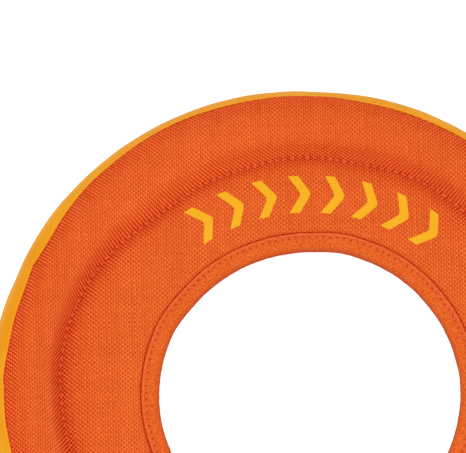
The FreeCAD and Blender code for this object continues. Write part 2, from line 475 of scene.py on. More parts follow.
# Which diagonal family of the weave is painted with stronger stripes: painted shade of the yarn
# relief, turning round the ring.
BOTH_WAYS = [(100, 0.08), (107, 0.30), (114, 0.08), (119, 0.0), (125, 0.1), (130, 0.05), (138, 0.1)]
ONE_WAY = [(100, 0.0), (107, 0.20), (114, 0.35), (119, 0.75), (125, 0.2), (130, 0.25), (138, 0.55)]
DIAGONAL_AXIS = [(107, 165), (114, 125), (119, 115), (125, 115), (130, 130), (138, 145)]


def shaded_diagonal(radius, theta):
    """Which diagonal family of the weave is painted with stronger stripes, as painted shade of the
    yarn relief: 1 for one, -1 for the other.
    """
    axis = np.radians(graded(radius, DIAGONAL_AXIS))
    return graded(radius, BOTH_WAYS) + graded(radius, ONE_WAY) * np.cos(2 * (theta - axis))


def cover_marks(path, rows, theta):
    """Painted slope shade and highlight on the weave, painted shade in creases, needle holes and the
    seam, and which diagonal is painted stronger.

    Darkness is below zero where painted light lifts the slope a little.
    """
    radius = path[rows, :1]
    lean = np.abs(path_normals(path)[rows, :1])
    # spread is painted light: shade in the weave's gaps and a highlight on its crowns, following the
    # slope of the cloth; past the crest only where it is steep, and weaker on the far side, round 95
    # degrees.
    spread = graded(radius, SLOPE_SHADING)
    spread = np.where(radius > CREST, spread * smooth(lean / 0.25), spread)
    beside = 0.5 - 0.5 * np.cos(2 * (theta - math.radians(95)))
    # Painted shade: a dark line in the crease at the tape's edge, a darker crest and outer slope,
    # dark needle holes in the groove, and the seam's turned-in edge.
    dark = 0.85 * bump(radius, TAPE_OUTER + 0.1, 0.35)
    dark = dark + 0.06 * smooth((radius - 122) / 6) + 0.08 * smooth((radius - 132) / 5)
    dark = dark + 0.6 * needle(theta, GROOVE, GROOVE_PITCH) ** 4 * bump(radius, GROOVE, 0.6)
    length = path_length(path)
    past_seam = length[rows][:, None] - length[-1] + TURN_IN + 0.9
    dark = dark + smooth((past_seam + 0.6 * needle(theta, TOP_SEAM, SEAM_PITCH)) / 0.8)
    dark = dark * (1 + 0.25 * waves(theta, 41, 60, 260, 0.1))
    # Painted light: the roll's inner slope lifted a little, round radius 120 at the sides and 114.5
    # on the far side.
    painted_lift = 0.07 * (beside * bump(radius, 120, 3.4) + (1 - beside) * bump(radius, 114.5, 2.4))
    return np.stack([spread * (0.58 + 0.44 * beside), np.clip(dark, 0, 1) - painted_lift,
                     shaded_diagonal(radius, theta)], -1)


def band_marks(path, rows, theta):
    """Painted shade low down on the band and where it turns in at a seam, and a painted highlight
    just past each seam.
    """
    edge = from_ends(path)[rows][:, None]
    # Painted shade where the band turns in at a seam, notched at the stitches.
    dark = 0.9 - 0.9 * smooth(
        (edge - TURN_IN + 0.1 - 0.3 * needle(theta, TOP_SEAM, SEAM_PITCH)) / 0.4)
    height = path[rows, 1:]
    # Painted shade: the band darker low down, where it turns away from the light, reaching higher on
    # the far side and easing again at the very bottom.
    low_shade = smooth((17.5 + 5 * smooth(np.sin(theta)) - height) / 9) * 0.85
    low_shade = low_shade * (0.45 + 0.55 * smooth((height - 5) / 8))
    # Painted highlight along the band just past each seam.
    highlight = 0.8 * bump(edge, TURN_IN + 1.1, 0.5)
    return np.stack(np.broadcast_arrays(low_shade, dark, highlight), -1)


def tape_marks(path, rows, theta):
    """A painted highlight inside the tape's outer edge, painted shade at that edge, in the needle
    holes and where the tape turns under, and a painted grey-brown shade on the hole's edge.
    """
    radius = path[rows, :1]
    turns = stitch_count(BINDING_ROW, BINDING_PITCH) * theta / TURN
    # Painted shade in the needle holes and, notched at the stitches, at the tape's outer edge.
    needle_hole = bump(np.mod(turns + 0.5, 1.0), 0.5, 0.12) * bump(radius, BINDING_ROW, 0.5)
    edge_shade = smooth((radius - TAPE_OUTER + 0.35) / 0.35) * (
        0.5 + 0.5 * needle(theta, BINDING_ROW, BINDING_PITCH))
    # Painted shade where the tape turns under at the hole.
    fold = np.maximum(0.5 * bump(path[rows, 1:], MIDDLE, 1.4) * bump(radius, HOLE, 0.6),
                      0.1 * bump(radius, HOLE, 1.5))
    dark = np.maximum(np.maximum(needle_hole, edge_shade), fold)
    # Painted highlight just inside the tape's outer edge, and painted shade on the hole's edge.
    highlight, wear_and_shade = 0.4 * bump(radius, TAPE_OUTER - 0.9, 0.4), 0.5 * bump(radius, HOLE, 0.9)
    return np.stack(np.broadcast_arrays(highlight, dark, wear_and_shade), -1)


# ---- how the cloth is cut

def cloth_place(x, y):
    """A plan place in the cover cloth's own directions."""
    return (x * math.cos(CLOTH_TURN) - y * math.sin(CLOTH_TURN),
            x * math.sin(CLOTH_TURN) + y * math.cos(CLOTH_TURN))


def flat_cut(path, rows, x, y, theta):
    """Pattern coordinates of a cover, flat on the web and wrapped over the roll, and how strongly
    light and dark are painted into its weave.
    """
    length = path_length(path)
    start = np.interp(WEB_START, path[:, 0], length)
    laid = (WEB_START + length - start)[rows][:, None]
    away = np.hypot(x, y)
    spread = laid + (away - path[rows, :1])
    u, v = cloth_place(spread * x / away, spread * y / away)
    return np.stack([u, v, np.broadcast_to(graded(path[rows, :1], PAINTED_WEAVE_CONTRAST), u.shape)], -1)


def round_cut(path, rows, x, y, theta):
    """Pattern coordinates of a strip: its length round the ring, and its width."""
    width = path_length(path)[rows][:, None]
    return np.stack(np.broadcast_arrays(theta * path[:, 0].mean(), width, 0.0), -1)


# ---- meshes

def new_object(name, data):
    thing = bpy.data.objects.new(name, data)
    bpy.context.scene.collection.objects.link(thing)
    return thing


def mesh_piece(name, node, slot, material, points, faces, **attributes):
    """A smooth-shaded piece from points in millimetres, riding on the ring's body."""
    mesh = bpy.data.meshes.new(name)
    faces = np.asarray(faces, np.int32)
    points = np.asarray(points, float).reshape(-1, 3)
    corners = faces.shape[1]
    mesh.vertices.add(len(points))
    mesh.vertices.foreach_set("co", (points * MM).astype(np.float32).ravel())
    mesh.loops.add(faces.size)
    mesh.loops.foreach_set("vertex_index", faces.ravel())
    mesh.polygons.add(len(faces))
    mesh.polygons.foreach_set("loop_start", np.arange(len(faces), dtype=np.int32) * corners)
    mesh.update(calc_edges=True)
    mesh.validate()
    mesh.shade_smooth()
    for label, values in attributes.items():
        layer = mesh.attributes.new(label, "FLOAT_VECTOR", "POINT")
        layer.data.foreach_set("vector", np.asarray(values, np.float32).ravel())
    piece = new_object(name, mesh)
    mesh.materials.append(material)
    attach(piece, BODY)
    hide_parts(node)
    return piece


def wrapped_faces(rows, columns):
    """Quads of a grid that closes on itself both ways."""
    row, column = np.meshgrid(np.arange(rows), np.arange(columns), indexing="ij")
    next_row, next_column = (row + 1) % rows, (column + 1) % columns
    corners = [row * columns + column, row * columns + next_column,
               next_row * columns + next_column, next_row * columns + column]
    return np.stack(corners, -1).reshape(-1, 4)


def shell(labels, path, cloth, marks, spacing, columns, place, relief, thickness, turn):
    """A closed skin of even thickness turned round the ring.

    labels are the piece's name, node, slot and material; cloth gives the pattern coordinates of
    the rows, and marks their painted shade and highlights; place gives plan x and y of nominal
    (radius, theta); relief is the height of the detail along the normal; turn is 1 when the
    path's left is the outside and -1 when its right is.
    """
    rows = picked(path, spacing)
    section, normals = path[rows], path_normals(path)[rows] * turn
    theta = np.broadcast_to(round_angles(columns), (len(rows), columns))
    detail = relief(section[:, :1], theta)
    inside = np.unique([*range(0, len(rows), INSIDE_SHARE), len(rows) - 1])[::-1]
    blocks = []
    for chosen, sink in ((np.arange(len(rows)), 0.0), (inside, thickness)):
        around, offset = theta[chosen], detail[chosen] - sink
        x, y = place(section[chosen, :1] + normals[chosen, :1] * offset, around)
        z = section[chosen, 1:] + normals[chosen, 1:] * offset
        blocks.append((np.stack([x, y, z], -1), cloth(path, rows[chosen], x, y, around),
                       marks(path, rows[chosen], around)))
    # crease holds each row's painted shade and highlights.
    points, pattern, crease = (np.concatenate(block) for block in zip(*blocks))
    faces = wrapped_faces(len(points), columns)[:, ::turn]
    return mesh_piece(*labels, points, faces, cloth=pattern, crease=crease)


# ---- material building blocks

def operator(name, way=1):
    """A method that joins a value to another one by a math node, in reverse order if way is -1."""
    return lambda value, other: value.graph.math(name, *(value, other)[::way])


class Value:
    """A shader node's output that can be written in sums, so that materials read as arithmetic."""

    __add__ = __radd__ = operator("ADD")
    __mul__ = __rmul__ = operator("MULTIPLY")
    __sub__, __rsub__ = operator("SUBTRACT"), operator("SUBTRACT", -1)
    __truediv__ = operator("DIVIDE")

    def __init__(self, graph, socket):
        self.graph, self.socket = graph, socket


class Graph:
    """A material's node tree, with short calls for the nodes used here."""

    GREEN_KEPT, BLUE_KEPT = 1.053, 1.108  # so that a mean shade leaves the colour's hue

    def __init__(self, name):
        self.material = bpy.data.materials.new(name)
        self.material.use_nodes = True
        self.tree = self.material.node_tree
        self.shader = self.tree.nodes["Principled BSDF"]

    def put(self, socket, value):
        if isinstance(value, Value):
            self.tree.links.new(value.socket, socket)
        else:
            socket.default_value = value

    def node(self, kind, output, inputs, **settings):
        """A new node's output; inputs gives values by the name or number of their socket."""
        node = self.tree.nodes.new("ShaderNode" + kind)
        for setting, value in settings.items():
            setattr(node, setting, value)
        for socket, value in inputs.items():
            self.put(node.inputs[socket], value)
        return Value(self, node.outputs[output])

    def math(self, operation, *values):
        return self.node("Math", 0, dict(enumerate(values)), operation=operation)

    def vector(self, *values):
        return self.node("CombineXYZ", 0, dict(enumerate(values)))

    def attribute(self, name):
        return self.node("Attribute", "Vector", {}, attribute_name=name)

    def parts(self, name):
        """The three numbers of an attribute."""
        split = self.node("SeparateXYZ", 0, {0: self.attribute(name)})
        return [Value(self, socket) for socket in split.socket.node.outputs]

    def noise(self, place, scale, detail=2.0, rough=0.5):
        return self.node("TexNoise", "Fac", {"Vector": place, "Scale": scale, "Detail": detail,
                                             "Roughness": rough})

    def white(self, place):
        return self.node("TexWhiteNoise", "Value", {"Vector": place})

    def ramp(self, value, low, high, to_low=0.0, to_high=1.0):
        return self.node("MapRange", "Result", {
            "Value": value, "From Min": low, "From Max": high, "To Min": to_low,
            "To Max": to_high}, interpolation_type="SMOOTHSTEP")

    def mix(self, share, first, second, blend="MIX"):
        return self.node("Mix", 2, {0: share, 6: first, 7: second}, data_type="RGBA",
                         blend_type=blend)

    def times(self, colour, red, green, blue):
        return self.mix(1.0, colour, self.vector(red, green, blue), "MULTIPLY")

    def shaded(self, colour, shade):
        return self.times(colour, shade, shade, shade)

    def toned(self, colour, shade):
        """The colour made deeper where shade is below one: green and blue fall before red."""
        squared = shade * shade
        return self.times(colour, shade, self.GREEN_KEPT * squared,
                          self.BLUE_KEPT * (squared * shade))

    def finish(self, colour, roughness, relief, depth, specular=0.5):
        """The finished material; roughness gives a ramp, and relief stands depth millimetres high."""
        normal = self.node("Bump", "Normal", {"Strength": 1.0, "Distance": depth * MM,
                                              "Height": relief})
        for name, value in (("Base Color", colour), ("Roughness", self.ramp(*roughness)),
                            ("Normal", normal), ("Specular IOR Level", specular)):
            self.put(self.shader.inputs[name], value)
        return self.material


LEVEL_LIGHT = 1.25  # how brightly the studio lights a level surface


def rgb(red, green, blue):
    """A colour as it should look lying level under these lights, as the value a shader takes."""
    def linear(value):
        value = value / 255
        return value / 12.92 if value <= 0.04045 else ((value + 0.055) / 1.055) ** 2.4
    return (*(linear(value) / LEVEL_LIGHT for value in (red, green, blue)), 1.0)


def weave(graph, across, along, warp_pitch, weft_pitch, stray=0.22):
    """Plain weave: its height, its two families of diagonals, its columns, and yarn tone."""
    def drift(*place):
        return (graph.noise(graph.vector(*place), 0.16, 1.0) - 0.5) * (2 * stray)

    def half_turns(operation, count):
        return graph.math(operation, math.pi * count)

    u = across / warp_pitch + drift(across, along)
    v = along / weft_pitch + drift(along, across, 7.0)
    warp, weft = graph.math("FLOOR", u), graph.math("FLOOR", v)
    arch_u, arch_v = (graph.math("ABSOLUTE", half_turns("SINE", count)) for count in (u, v))
    sign = 1.0 - 2.0 * graph.math("FLOORED_MODULO", warp + weft, 2.0)
    warp_top = 0.5 * sign * arch_v + 0.75 * arch_u - 0.25
    weft_top = -0.5 * sign * arch_u + 0.62 * arch_v - 0.25
    height = graph.math("MAXIMUM", warp_top, weft_top)
    rising = half_turns("COSINE", u - v)
    falling = -1.0 * half_turns("COSINE", u + v)
    columns = half_turns("COSINE", 2.0 * u + 0.4)
    weft_name = weft + 5000.0  # so that no weft yarn has the tone of a warp yarn
    yarn = (warp - weft_name) * graph.math("GREATER_THAN", warp_top, weft_top) + weft_name
    crossing = graph.white(graph.vector(warp, weft, 3.0))
    return height, rising, falling, columns, 0.5 * crossing + 0.5 * graph.white(graph.vector(yarn))


def cloth_material(name, crown, gap, slope_highlight_crown, slope_shade_gap, fold):
    """Coarse plain-weave cloth, matt; its gaps painted darker than its crowns, in part as shade of
    the weave relief, and painted darker and redder on slopes and in folds, where shade falls.
    """
    graph = Graph(name)
    across, along, depth = graph.parts("cloth")
    spread, dark, slant = graph.parts("crease")
    height, rising, falling, columns, tone = weave(graph, across, along, WARP_PITCH, WEFT_PITCH)
    # slant picks the diagonal stripes painted stronger, as painted shade of the yarn relief.
    diagonals = rising * (0.21 - 0.17 * slant) + falling * (0.21 + 0.17 * slant)
    # depth scales the painted light and dark of the weave, stronger on slopes.
    pattern = depth * (diagonals + columns * (0.25 - 0.18 * spread))
    lit = graph.ramp(pattern + 0.18 * height + 0.39, 0.0, 1.0)
    # As spread rises, gaps take the painted slope shade and crowns the painted highlight.
    colour = graph.mix(lit, graph.mix(spread, gap, slope_shade_gap),
                       graph.mix(spread, crown, slope_highlight_crown))
    place = graph.vector(across, along)
    broad, fine = graph.noise(place, 0.03, 3.0), graph.noise(place, 1.8)
    shade = 0.19 * tone + 0.08 * broad + 0.12 * fine + 0.765
    # Where dark is below zero the colour is lightened: painted light.
    painted_lift = graph.math("MINIMUM", dark, 0.0)
    # The fold colour is painted shade in the creases, needle holes and seam.
    colour = graph.mix(dark, graph.toned(colour, shade - painted_lift), fold)
    fibres = graph.noise(graph.vector(3.0 * across, along), 4.0)
    return graph.finish(colour, (height, 0.0, 1.0, 0.9, 0.72), 0.12 * fibres + height, 0.16, 0.03)


def tape_material(name, light, dark, highlight_tone, hole_shade_tone, fold):
    """Fine ribbed binding tape, smoother than the cover."""
    graph = Graph(name)
    around, across, _ = graph.parts("cloth")
    highlight, painted_shade, wear_and_shade = graph.parts("crease")
    height = weave(graph, around, across, 0.42, 0.36, 0.1)[0]
    place = graph.vector(around, across)
    grain, broad = graph.noise(place, 1.1, 3.0), graph.noise(place, 0.08)
    weft_bars = graph.noise(graph.vector(around, 0.3 * across), 1.6)
    colour = graph.mix(graph.ramp(0.5 * height + weft_bars, 0.3, 1.0), dark, light)
    colour = graph.toned(colour, grain + 0.12 * broad + 0.41)
    # Painted highlight, painted shade on the hole's edge, then painted shade in the crease and needle
    # holes.
    for share, tone in ((highlight, highlight_tone), (wear_and_shade, hole_shade_tone), (painted_shade, fold)):
        colour = graph.mix(share, colour, tone)
    return graph.finish(colour, (grain, 0.3, 0.7, 0.66, 0.8), 0.8 * grain + height, 0.05, 0.03)


def band_material(name, base, wear_and_shade, fold, low, highlight):
    """Smooth coated band: fine pebbled grain, faint rubbing marks and a satin surface."""
    graph = Graph(name)
    around, across, _ = graph.parts("cloth")
    low_shade, painted_shade, edge = graph.parts("crease")
    place = graph.vector(around, across)
    grain, broad = graph.noise(place, 2.6, 3.0, 0.6), graph.noise(place, 0.05)
    streaks = graph.noise(graph.vector(0.05 * around, across), 0.9, 3.0)
    colour = graph.mix(graph.ramp(0.3 * streaks + 0.7 * broad, 0.38, 0.62), base, wear_and_shade)
    # low is the painted shade low on the band, edge carries the painted highlight, and the fold
    # colour is painted shade at the seams.
    colour = graph.mix(edge, graph.mix(low_shade, colour, low), highlight)
    colour = graph.mix(painted_shade, graph.shaded(colour, 0.10 * grain + 0.93), fold)
    return graph.finish(colour, (streaks, 0.3, 0.7, 0.5, 0.64), 0.8 * streaks + grain, 0.05, 0.04)


def ink_material(name, light, dark):
    """Screen-print ink that bridges the weave, so the yarns show through faintly."""
    graph = Graph(name)
    across, along, _ = graph.parts("cloth")
    height, rising, falling = weave(graph, across, along, WARP_PITCH, WEFT_PITCH)[:3]
    colour = graph.mix(graph.ramp(0.05 * (rising + falling) + height, -0.1, 0.7), dark, light)
    spread = graph.noise(graph.vector(across, along), 0.7, 3.0)
    colour = graph.shaded(colour, 0.14 * spread + 0.92)
    return graph.finish(colour, (spread, 0.3, 0.7, 0.55, 0.7), 0.3 * spread + height, 0.07, 0.2)


def thread_material(name, light, dark):
    """Twisted polyester thread: fibres along the ply, almost matt."""
    graph = Graph(name)
    around, along, ply = graph.parts("cloth")
    fibres = graph.noise(graph.vector(3.0 * around, along), 5.0)
    # ply carries a random stitch tone and painted shade between the plies.
    colour = graph.shaded(graph.mix(graph.ramp(fibres, 0.3, 0.7), dark, light), ply)
    return graph.finish(colour, (fibres, 0.3, 0.7, 0.55, 0.7), fibres, 0.03, 0.03)


def foam_material(name, light, dark):
    """Closed-cell foam with its skin cut away: small round cells."""
    graph = Graph(name)
    place = graph.attribute("cloth")
    cells = graph.node("TexVoronoi", "Distance", {"Vector": place, "Scale": 1.4})
    broad = graph.noise(place, 0.1)
    colour = graph.shaded(graph.mix(graph.ramp(cells, 0.1, 0.6), light, dark), 0.2 * broad + 0.9)
    return graph.finish(colour, (broad, 0.3, 0.7, 0.85, 0.95), cells, 0.3)


# Cover: weave crown and gap (the gap's darkness partly painted shade), painted slope highlight and
# shade, painted shade of the folds.
cover_cloth = cloth_material("orange_cover_cloth", rgb(246, 117, 56), rgb(220, 78, 15),
                             rgb(264, 112, 50), rgb(180, 2, 0), rgb(200, 24, 0))
# Tape: light and dark yarn, painted highlight, painted shade on the hole's edge, painted shade of the
# crease.
binding_tape = tape_material("orange_binding_tape", rgb(243, 112, 45), rgb(204, 70, 12),
                             rgb(250, 112, 76), rgb(158, 80, 46), rgb(190, 18, 0))
# Band: base and worn tone, painted shade at the seams, painted shade low down, painted highlight by
# the seams.
edge_rubber = band_material("yellow_edge_band", rgb(237, 154, 9), rgb(241, 164, 16),
                            rgb(206, 84, 4), rgb(202, 138, 40), rgb(255, 156, 38))
print_ink = ink_material("yellow_print_ink", rgb(249, 180, 12), rgb(241, 170, 6))
orange_thread = thread_material("orange_thread", rgb(262, 121, 76), rgb(250, 102, 58))
tape_thread = thread_material("orange_tape_thread", rgb(260, 122, 64), rgb(248, 106, 50))
yellow_thread = thread_material("yellow_thread", rgb(252, 184, 60), rgb(226, 150, 34))
foam = foam_material("charcoal_foam", rgb(96, 98, 102), rgb(62, 63, 66))


# ---- covers and strips
# Flat sizes, in metres.

BAND_MEAN = 0.1455  # mean radii of the side band and the tape
TAPE_MEAN = 0.0755


def cover_spacing(path):
    """Row spacing: close at the tape, the groove and the seam, wide on the level web."""
    radius = path[:, 0]
    wanted = 2.3 - 1.80 * bump(radius, TAPE_OUTER + 1, 3.0)
    wanted -= 1.68 * np.clip(bump(radius, GROOVE, 9.0) * 1.3, 0, 1)
    wanted -= 0.9 * bump(radius, 128, 6.0)
    return np.clip(np.where(radius > TOP_SEAM - 3, 0.5, wanted), 0.4, None)


def cover_shell(side, path, place, relief, turn):
    """A cover: a shell round the ring, its pattern laid flat on the web and wrapped over the roll."""
    piece = shell((side + "_cover_cloth", side + "_cover", "cover_cloth", cover_cloth), path,
                  flat_cut, cover_marks, cover_spacing, SHELL_COLUMNS, place, relief, CLOTH, turn)
    return piece


def strip_shell(mean, held, rests_on, labels, path, *form):
    """A strip sewn into a loop; mean, its mean radius in metres, is not used."""
    piece = shell(labels, path, round_cut, *form)
    path_length(path)[-1] * MM
    return piece


# ---- side band

def band_spacing(path):
    return np.where(from_ends(path) < 5.0, 0.5, 1.1)


def band_relief(radius, theta):
    """Slow waves and two flatter stretches, small pulls at the seams and a lapped join."""
    down = np.linspace(0, 1, len(radius))[:, None]
    swell = np.sin(math.pi * down)
    detail = (0.08 * waves(theta, 21, 3, 12) - 0.15 + strays(theta, BAND_STRAYS)) * swell
    detail += 0.05 * waves(theta + 0.15 * down, 22, 14, 60) * swell
    pulls = 0.10 * stitch_wave(theta, TOP_SEAM, SEAM_PITCH) + 0.08 * waves(theta, 23, 60, 200, 0.2)
    detail += pulls * (bump(down, 0.12, 0.05) + bump(down, 0.9, 0.04))
    lap = 0.45 * np.sin(math.pi * np.clip(down, 0.1, 0.9))
    return detail + lap * lapped(theta, BAND_JOIN, OUTER, 6, 5)


def band_place(radius, theta):
    near_top = smooth((TOP_SEAM + 4 - radius) / 5)
    return plan(radius + seam_wander(theta) * near_top, theta, 0.0)


# ---- binding tape

def tape_section():
    """The tape's outside: from its upper edge over the hole's edge to its lower edge."""
    reach = EDGE_HALF + TAPE
    top_z = MIDDLE + reach
    corners = [(TAPE_OUTER + 0.05, top_z - 0.75), (TAPE_OUTER, top_z - 0.12),
               (TAPE_OUTER - 0.35, top_z), (HOLE + reach, top_z)]
    over = [line(*ends) for ends in zip(corners, corners[1:])]
    over.append(arc((HOLE + reach, MIDDLE), corners[-1], (HOLE, MIDDLE)))
    under = [piece[::-1] * (1, -1) + (0, RIM_HEIGHT) for piece in over[::-1]]
    return rounded(joined(over + under), 0.3)


tape = tape_section()


def tape_spacing(path):
    return np.where(path[:, 0] > BINDING_ROW - 1.5, 0.42, 0.8)


def tape_relief(radius, theta):
    """Stitch dimples, tiny gathers at the hole's edge, and the lapped ends of the tape."""
    detail = stitch_dimples(radius, theta, BINDING_ROW, BINDING_PITCH, 0.34, 0.75)
    pillow = 0.14 * bump(radius, BINDING_ROW - 3, 2.4) + 0.10 * bump(radius, TAPE_OUTER - 0.9, 0.7)
    detail += pillow * (1 + 0.5 * waves(theta, 31, 20, 90, 0.2))
    gathers = 0.025 * waves(theta, 32, 60, 160, 0.1) * smooth((BINDING_ROW - radius) / 5)
    detail += gathers + 0.05 * waves(theta, 33, 4, 18)
    return detail + 0.55 * lapped(theta, TAPE_JOIN, BINDING_ROW, 9, 6)


def tape_place(radius, theta):
    wander = 0.05 * waves(theta, 34, 5, 40, 0.6) + hole_wander(theta)
    return plan(radius + wander, theta, 1.0)


# ---- surfaces to lay things on

class Surface:
    """A finished piece that threads and ink are laid on, by dropping on to it."""

    def __init__(self, piece):
        points = [v.co.copy() for v in piece.data.vertices]
        faces = [tuple(p.vertices) for p in piece.data.polygons]
        self.tree = BVHTree.FromPolygons(points, faces, epsilon=1e-6)

    def height(self, x, y, side=1):
        """Where a plumb line through plan (x, y) meets the top if side is 1, the underside if -1."""
        fall = Vector((0, 0, -side))
        for nudge in (0.0, 0.02, -0.03, 0.05, -0.08):
            start = Vector(((x + nudge) * MM, (y + 0.7 * nudge) * MM, -0.1 * fall.z))
            hit = self.tree.ray_cast(start, fall)[0]
            if hit is not None:
                return hit.z / MM
        return self.tree.find_nearest(start - fall * 0.05)[0].z / MM

    def nearest(self, place):
        hit = self.tree.find_nearest(Vector(place) * MM)
        return np.array(hit[0]) / MM, np.array(hit[1])


# ---- threads
# A stitch is (middle, direction along it, direction up from the cloth, length).

THREAD_SIDES = 9
THREAD_RINGS = 9
UP = np.array([0, 0, 1.0])


def outward(theta):
    return np.array([math.cos(theta), math.sin(theta), 0.0])


def stitch_faces():
    """Quads of one stitch: its sides, and two ends cut into quads that share a corner."""
    tube = wrapped_faces(THREAD_RINGS, THREAD_SIDES)[:-THREAD_SIDES, ::-1]
    last = (THREAD_RINGS - 1) * THREAD_SIDES
    start = np.array([(0, k, k + 1, k + 2) for k in range(1, THREAD_SIDES - 2, 2)])
    return np.concatenate([tube, start, last + start[:, ::-1]])


def sewn(row, stitches, material, slot="thread"):
    """A row of stitches of three-ply thread, their ends dipping in."""
    stitches = list(stitches)
    share = np.linspace(-1, 1, THREAD_RINGS)
    side = round_angles(THREAD_SIDES)
    middle, along, up = (np.array([stitch[k] for stitch in stitches])[:, None, None]
                         for k in range(3))
    length = np.array([stitch[3] for stitch in stitches])[:, None, None]
    taper = np.sqrt(np.clip(1 - np.abs(share) ** 6, 0.06, 1))
    dip = -THREAD * 2.2 * np.abs(share) ** 4
    ply = 1 + 0.16 * np.cos(3 * (side - share[:, None] * 2.4))
    size = THREAD * taper[:, None] * ply
    run = length * share[:, None] / 2
    lift = dip[:, None] + size * np.sin(side)
    points = middle + along * run[..., None] + up * lift[..., None]
    points = points + np.cross(along, up) * (size * np.cos(side))[..., None]
    first = np.arange(len(stitches)) * THREAD_RINGS * THREAD_SIDES
    faces = (first[:, None, None] + stitch_faces()).reshape(-1, 4)
    # The tone is random per stitch, with painted shade in the grooves between the plies.
    tones = np.random.default_rng(5).uniform(0.90, 1.0, len(stitches))[:, None, None]
    pattern = np.stack(np.broadcast_arrays(
        side * THREAD, run, tones * (0.86 + 0.14 * (ply - 0.84) / 0.32)), -1)
    mesh_piece(row + "_stitches", row + "_thread", slot, material, points, faces, cloth=pattern)


def stitch_circle(place, radius, pitch, surface, side, lift):
    """Stitches of a round row on a surface, between the needle holes. side is 1 on top, else -1."""
    half_turn = 0.5 * pitch * 0.76 / radius
    for theta in between_holes(radius, pitch):
        ends = [np.array(place(np.array([radius]), np.array([theta + way * half_turn])))[:, 0]
                for way in (-1, 1)]
        x, y = (ends[0] + ends[1]) / 2
        middle = np.array([x, y, surface.height(x, y, side) + side * lift])
        along = np.array([*(ends[1] - ends[0]), 0.0])
        length = np.hypot(*along[:2])
        yield middle, along / length, side * UP, length


def seam_circle(radius, height, side):
    """Stitches deep in the notch of a rim seam. side is 1 for the top seam, -1 for the bottom."""
    for theta in between_holes(radius, SEAM_PITCH):
        out = outward(theta)
        wander = seam_wander(np.array([theta]))[0] if side > 0 else 0.0
        yield (out * (radius + wander) + UP * height, np.cross(UP, out),
               (out + side * UP) / math.sqrt(2), SEAM_PITCH * 0.8)


def tack_stitches(surface):
    """A bar tack across the tape's lapped end."""
    for number in range(9):
        theta = TAPE_JOIN + (number - 8) * 0.75 / BINDING_ROW
        x, y = plan(BINDING_ROW - 2.2, theta, 1.0)
        yield np.array([x, y, surface.height(x, y) + THREAD * 0.5]), outward(theta), UP, 2.6


def join_stitches(surface):
    """Two rows of stitches down the side band, beside its lapped end."""
    for offset in (-3.6, -1.2):
        out = outward(BAND_JOIN + offset / OUTER)
        for number in range(7):
            away, height = on_circle(BAND_CENTRE, BAND_ROUND + 1, math.radians(6 + 5.2 * number))
            place, normal = surface.nearest(out * away + UP * height)
            along = np.cross(normal, np.cross(UP, normal))
            yield place + normal * THREAD * 0.5, along / np.linalg.norm(along), normal, 2.2


# ---- print

CHEVRONS = 8
PRINT_START, PRINT_END = math.radians(50), math.radians(126)
PRINT_INNER, PRINT_OUTER = 88.5, 107.0
STROKE = 5.0  # a chevron's width along the ring, and how far its point leads
POINT = 6.0
INK = 0.10  # height of the ink above the cloth, and how far it soaks in
SOAKED = 0.05


def chevron_outline(step, side):
    """Plan place on a chevron, from its share along the stroke (0-1) and across it (-1 to 1)."""
    fold = POINT * (1 - np.abs(side)) - POINT * 0.06 * bump(side, 0, 0.12)
    return STROKE * step - (STROKE + POINT) / 2 + fold, (PRINT_OUTER - PRINT_INNER) / 2 * side


def print_film(surface):
    """Plain chevrons of ink that follow the cover's surface."""
    across, along = 11, 61
    step, side = np.meshgrid(np.linspace(0, 1, across), np.linspace(-1, 1, along), indexing="ij")
    rng = np.random.default_rng(8)
    points, faces, patterns = [], [], []
    for number in range(CHEVRONS):
        turn = PRINT_START + (PRINT_END - PRINT_START) * (number + 0.5) / CHEVRONS
        ahead, away = chevron_outline(step, side)
        ragged = rng.normal(0, 0.09, (2, along))
        ahead[0] += ragged[0]
        ahead[-1] += ragged[1]
        away[:, 0] += rng.normal(0, 0.07, across)
        away[:, -1] += rng.normal(0, 0.07, across)
        away += (PRINT_INNER + PRINT_OUTER) / 2
        x = HOLE_SHIFT[0] + math.cos(turn) * away + math.sin(turn) * ahead
        y = HOLE_SHIFT[1] + math.sin(turn) * away - math.cos(turn) * ahead
        z = np.vectorize(surface.height)(x, y)
        faces.append(slab_faces(across, along) + 2 * across * along * number)
        for level in (z + INK, z - SOAKED):
            points.append(np.stack([x, y, level], -1))
            patterns.append(np.stack([*cloth_place(x, y), np.zeros_like(x)], -1))
    mesh_piece("top_print_film", "top_print", "print_ink", print_ink, points,
               np.concatenate(faces), cloth=patterns)


def slab_faces(rows, columns):
    """Quads of a thin slab: a grid, the same grid below it, and the rim between them."""
    count = rows * columns
    corner = np.arange(count).reshape(rows, columns)
    top = np.stack([corner[:-1, :-1], corner[1:, :-1], corner[1:, 1:], corner[:-1, 1:]], -1)
    top = top.reshape(-1, 4)
    rim = np.concatenate([corner[0], corner[1:, -1], corner[-1, -2::-1], corner[-2:0:-1, 0]])
    beside = np.roll(rim, -1)
    wall = np.stack([rim, beside, beside + count, rim + count], -1)
    return np.concatenate([top, top[:, ::-1] + count, wall])


# ---- foam

FOAM_GAP = 1.6  # how far the foam lies below the covers' outside


def foam_piece(name, node, section):
    """A closed foam ring from a section drawn anticlockwise; each half follows its own cover."""
    section = np.array(section)
    radius, z = (np.broadcast_to(section[:, [k]], (len(section), FOAM_COLUMNS)) for k in (0, 1))
    theta = np.broadcast_to(round_angles(FOAM_COLUMNS), z.shape)
    x, y = np.where(z >= MIDDLE, moved(radius, theta), below(radius, theta))
    points = np.stack([x, y, z], -1)
    piece = mesh_piece(name, node, "foam", foam, points, wrapped_faces(*z.shape), cloth=points)


def inside_of(path, low, high, turn, count):
    """Places just inside a cover's path between two radii, in order of radius."""
    rows = np.flatnonzero((path[:, 0] > low) & (path[:, 0] < high))
    rows = rows[np.linspace(0, len(rows) - 1, count).astype(int)]
    return path[rows] - path_normals(path)[rows] * turn * FOAM_GAP


